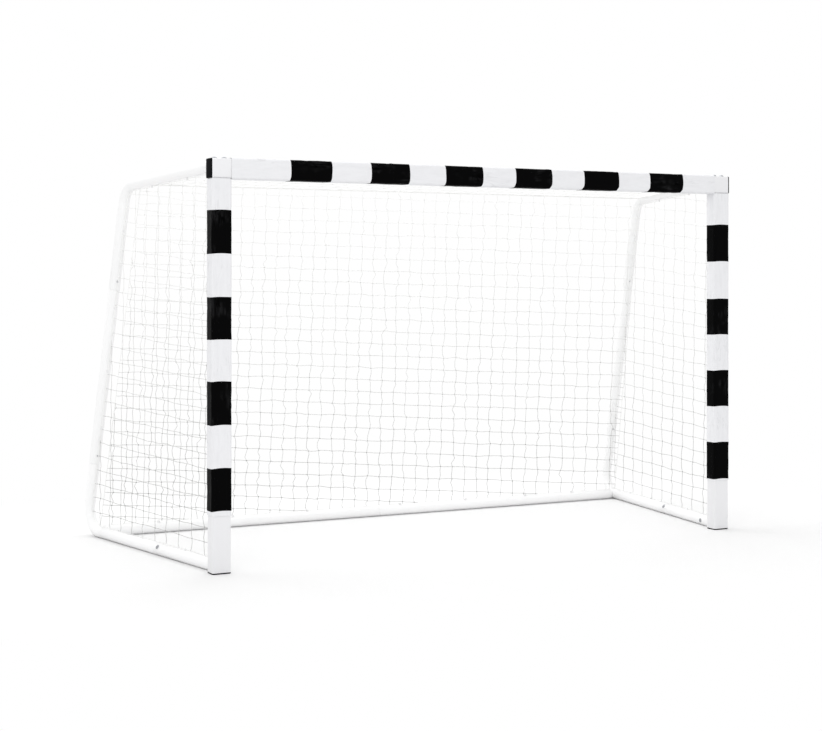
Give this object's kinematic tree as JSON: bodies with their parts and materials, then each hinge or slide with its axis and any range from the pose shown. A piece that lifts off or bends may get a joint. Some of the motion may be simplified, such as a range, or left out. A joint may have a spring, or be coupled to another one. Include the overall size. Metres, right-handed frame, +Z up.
{
  "type": "soccer goal",
  "caption": "Free-standing soccer goal: sleeved rectangular front frame, splayed round-tube side frames with snap-button joints, ground bar and mesh net.",
  "frame": {"origin": "middle of the goal's footprint, on the ground", "axes": "+X across the goal, +Y to the back, +Z up; the mouth faces -Y"},
  "size_m": [2.9476, 1.2673, 1.6863],
  "materials": {
    "white_paint": "white powder coat, satin",
    "sleeve_vinyl": "coated vinyl, soft sheen; the black stripes are in the looks",
    "net_cord": "white polyethylene cord",
    "black_plastic": "moulded, satin",
    "white_plastic": "moulded, satin",
    "zinc_steel": "zinc plated",
    "button_steel": "plated, polished",
    "spring_steel": "bare spring steel"
  },
  "bodies": {
    "frame": {"button_spring_bar": "spring_steel", "button_spring_lower_left": "spring_steel", "button_spring_lower_right": "spring_steel", "button_spring_rail_left": "spring_steel", "button_spring_rail_right": "spring_steel", "button_spring_upper_left": "spring_steel", "button_spring_upper_right": "spring_steel", "corner_bolt_inner_left": "zinc_steel", "corner_bolt_inner_right": "zinc_steel", "corner_bolt_outer_left": "zinc_steel", "corner_bolt_outer_right": "zinc_steel", "corner_elbow_left": "white_paint", "corner_elbow_right": "white_paint", "crossbar_left": "white_paint", "crossbar_right": "white_paint", "crossbar_screw_1": "zinc_steel", "crossbar_screw_2": "zinc_steel", "crossbar_sleeve": "sleeve_vinyl", "end_cap_left": "black_plastic", "end_cap_right": "black_plastic", "foot_plug_left": "black_plastic", "foot_plug_right": "black_plastic", "ground_spigot_left": "white_paint", "ground_spigot_right": "white_paint", "net_back": "net_cord", "net_hooks_crossbar": "white_plastic", "net_hooks_left": "white_plastic", "net_hooks_right": "white_plastic", "net_left": "net_cord", "net_right": "net_cord", "net_top": "net_cord", "post_left": "white_paint", "post_right": "white_paint", "post_sleeve_left": "sleeve_vinyl", "post_sleeve_right": "sleeve_vinyl", "rear_bar_left": "white_paint", "rear_bar_right": "white_paint", "side_rail_front_left": "white_paint", "side_rail_front_right": "white_paint", "side_rail_rear_left": "white_paint", "side_rail_rear_right": "white_paint", "top_rail_left": "white_paint", "top_rail_right": "white_paint", "top_spigot_left": "white_paint", "top_spigot_right": "white_paint", "tube_bolt_foot_left": "zinc_steel", "tube_bolt_foot_right": "zinc_steel", "tube_bolt_mid_left": "zinc_steel", "tube_bolt_mid_right": "zinc_steel", "tube_bolt_top_left": "zinc_steel", "tube_bolt_top_right": "zinc_steel", "upright_left": "white_paint", "upright_right": "white_paint"},
    "snap_button_bar": {"snap_button_bar": "button_steel"},
    "snap_button_lower_left": {"snap_button_lower_left": "button_steel"},
    "snap_button_lower_right": {"snap_button_lower_right": "button_steel"},
    "snap_button_rail_left": {"snap_button_rail_left": "button_steel"},
    "snap_button_rail_right": {"snap_button_rail_right": "button_steel"},
    "snap_button_upper_left": {"snap_button_upper_left": "button_steel"},
    "snap_button_upper_right": {"snap_button_upper_right": "button_steel"}
  },
  "joints": [
    {"name": "bar_press", "type": "slide", "parent": "frame", "child": "snap_button_bar", "axis": [0, 1, 0], "range_m": [-0.0065, 0], "stiffness_N_per_m": 600, "springref_m": 0.003, "deforming": ["button_spring_bar"]},
    {"name": "lower_left_press", "type": "slide", "parent": "frame", "child": "snap_button_lower_left", "axis": [0.1533, -0.9569, -0.2469], "range_m": [-0.0065, 0], "stiffness_N_per_m": 600, "springref_m": 0.003, "deforming": ["button_spring_lower_left"]},
    {"name": "lower_right_press", "type": "slide", "parent": "frame", "child": "snap_button_lower_right", "axis": [-0.1533, -0.9569, -0.2469], "range_m": [-0.0065, 0], "stiffness_N_per_m": 600, "springref_m": 0.003, "deforming": ["button_spring_lower_right"]},
    {"name": "rail_left_press", "type": "slide", "parent": "frame", "child": "snap_button_rail_left", "axis": [0.9874, 0.1582, 0], "range_m": [-0.0065, 0], "stiffness_N_per_m": 600, "springref_m": 0.003, "deforming": ["button_spring_rail_left"]},
    {"name": "rail_right_press", "type": "slide", "parent": "frame", "child": "snap_button_rail_right", "axis": [0.9874, -0.1582, 0], "range_m": [-0.0065, 0], "stiffness_N_per_m": 600, "springref_m": 0.003, "deforming": ["button_spring_rail_right"]},
    {"name": "upper_left_press", "type": "slide", "parent": "frame", "child": "snap_button_upper_left", "axis": [0.1533, -0.9569, -0.2469], "range_m": [-0.0065, 0], "stiffness_N_per_m": 600, "springref_m": 0.003, "deforming": ["button_spring_upper_left"]},
    {"name": "upper_right_press", "type": "slide", "parent": "frame", "child": "snap_button_upper_right", "axis": [-0.1533, -0.9569, -0.2469], "range_m": [-0.0065, 0], "stiffness_N_per_m": 600, "springref_m": 0.003, "deforming": ["button_spring_upper_right"]}
  ]
}
